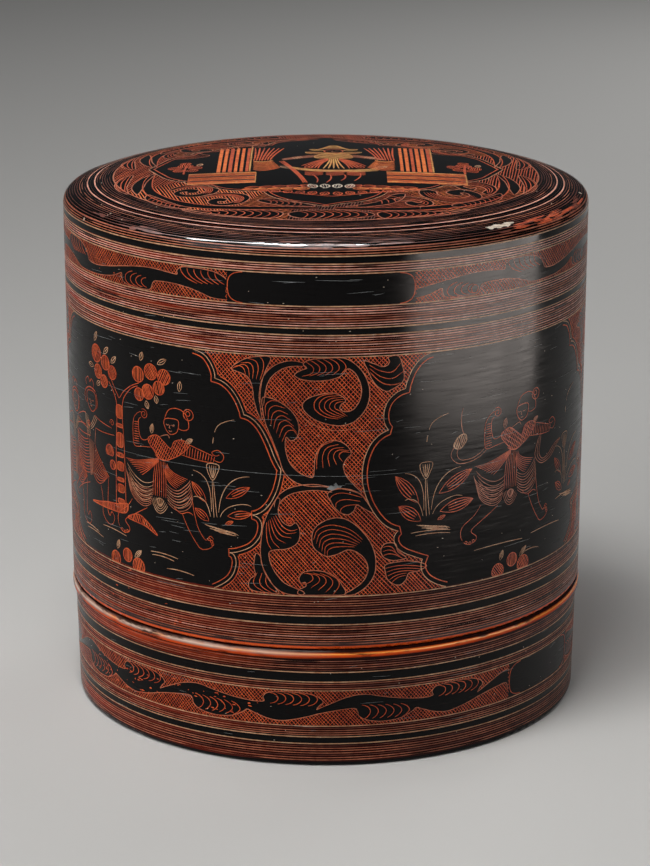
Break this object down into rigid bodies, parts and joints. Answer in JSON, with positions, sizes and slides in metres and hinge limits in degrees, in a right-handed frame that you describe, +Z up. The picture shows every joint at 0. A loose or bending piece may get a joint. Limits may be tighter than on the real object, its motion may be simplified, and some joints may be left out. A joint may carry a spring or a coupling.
{
  "type": "lacquered betel box",
  "caption": "Cylindrical lacquered betel box with a deep slip-over lid, a low base with a rounded seat for the lid, and nested trays hanging in its body.",
  "frame": {"origin": "centre of the foot ring's bearing face, on the surface that the box stands on", "axes": "+Z up along the axis that every piece is turned about, -Y towards the viewer of the picture"},
  "size_m": [0.2012, 0.2012, 0.2068],
  "materials": {
    "black_lacquer": "gloss",
    "red_lacquer": "gloss",
    "worn_lacquer": "satin",
    "incised_colour": "matte"
  },
  "bodies": {
    "base": {"base_foot_ring": "black_lacquer", "base_floor": "red_lacquer", "base_drum": "black_lacquer", "base_seat_bead": "worn_lacquer", "body_wall": "red_lacquer", "body_rim_hoop": "red_lacquer"},
    "lower_tray": {"lower_tray_floor": "red_lacquer", "lower_tray_wall": "red_lacquer", "lower_tray_flange": "red_lacquer"},
    "upper_tray": {"upper_tray_floor": "red_lacquer", "upper_tray_wall": "red_lacquer", "upper_tray_flange": "red_lacquer"},
    "lid": {"lid_top_panel": "black_lacquer", "lid_shoulder_hoop": "black_lacquer", "lid_wall": "black_lacquer", "lid_mouth_hoop": "worn_lacquer"}
  },
  "joints": [
    {"name": "lower_tray_lift", "type": "slide", "parent": "base", "child": "lower_tray", "axis": [0, 0, 1], "range_m": [0, 0.08]},
    {"name": "upper_tray_lift", "type": "slide", "parent": "lower_tray", "child": "upper_tray", "axis": [0, 0, 1], "range_m": [0, 0.05]},
    {"name": "lid_lift", "type": "slide", "parent": "upper_tray", "child": "lid", "axis": [0, 0, 1], "range_m": [0, 0.17]}
  ]
}
